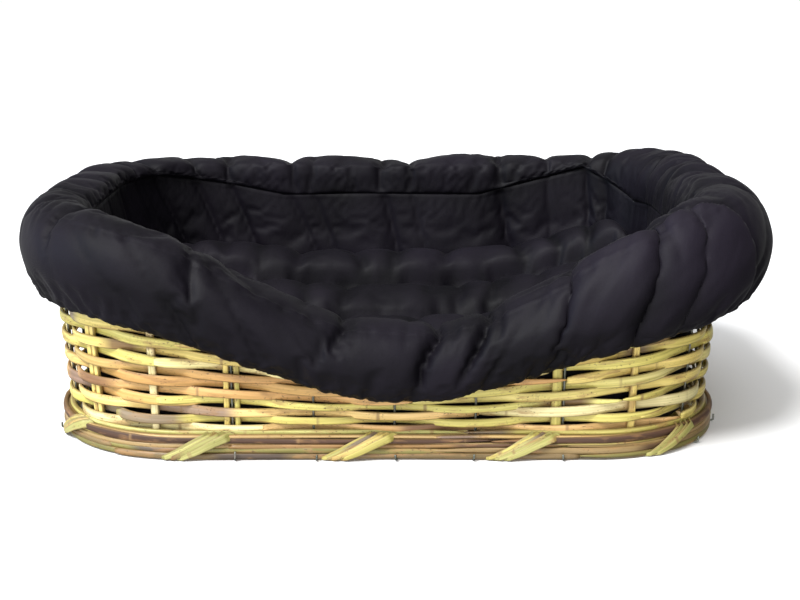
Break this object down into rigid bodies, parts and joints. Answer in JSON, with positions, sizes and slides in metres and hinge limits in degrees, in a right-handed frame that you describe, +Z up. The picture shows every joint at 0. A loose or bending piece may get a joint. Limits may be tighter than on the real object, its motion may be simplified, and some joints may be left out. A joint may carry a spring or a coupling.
{
  "type": "wicker pet bed basket",
  "caption": "Woven split-cane pet bed with a dipped front, steel and cane stakes, a lashed foot border, a padded black liner over the rim and a loose channelled cushion.",
  "frame": {"origin": "centre of the foot border's resting face, at floor level", "axes": "+X along the basket's length, -Y towards the dipped front, +Z up"},
  "size_m": [0.8866, 0.6225, 0.287],
  "materials": {
    "reed_yellow": "natural split reed, satin",
    "reed_tan": "natural split reed, satin",
    "reed_brown": "dark stained reed, satin",
    "cane_pale": "pale green split cane skin, semi-gloss",
    "steel_wire": "galvanised",
    "cloth_black": "tightly woven brushed polyester, matt",
    "fibre_white": "loose polyester fibre",
    "elastic_white": "flat woven elastic"
  },
  "bodies": {
    "basket": {"base_frame": "reed_tan", "base_slats": "reed_tan", "base_canes": "reed_yellow", "foot_reed_lower": "reed_yellow", "foot_reed_upper": "reed_yellow", "foot_band": "reed_brown", "foot_lashings": "cane_pale", "wire_stakes": "steel_wire", "cane_stakes": "reed_tan", "weaver_01": "reed_yellow", "weaver_02": "reed_yellow", "weaver_03": "reed_yellow", "weaver_04": "reed_yellow", "weaver_05": "reed_yellow", "weaver_06": "reed_yellow", "weaver_07": "reed_yellow", "weaver_08": "reed_yellow", "weaver_09": "reed_yellow", "weaver_10": "reed_yellow", "weaver_11": "reed_yellow", "weaver_12": "reed_yellow", "weaver_13": "reed_yellow", "weaver_14": "reed_yellow", "weaver_15": "reed_yellow", "weaver_16": "reed_yellow", "weaver_17": "reed_yellow", "rim_hoop_outer": "reed_tan", "rim_hoop_inner": "reed_tan", "rim_lashings": "cane_pale"},
    "liner": {"liner_floor": "cloth_black", "liner_wall_lining": "cloth_black", "liner_wall_filling": "fibre_white", "liner_wall_cover": "cloth_black", "liner_cuff_lining": "cloth_black", "liner_cuff_filling": "fibre_white", "liner_cuff_cover": "cloth_black", "liner_hem_elastic": "elastic_white"},
    "cushion": {"cushion_cover_top": "cloth_black", "cushion_cover_base": "cloth_black", "cushion_filling": "fibre_white"}
  },
  "joints": [
    {"name": "liner_lift", "type": "slide", "parent": "basket", "child": "liner", "axis": [0, 0, 1], "range_m": [0, 0.3]},
    {"name": "cushion_lift", "type": "slide", "parent": "liner", "child": "cushion", "axis": [0, 0, 1], "range_m": [0, 0.27]}
  ]
}
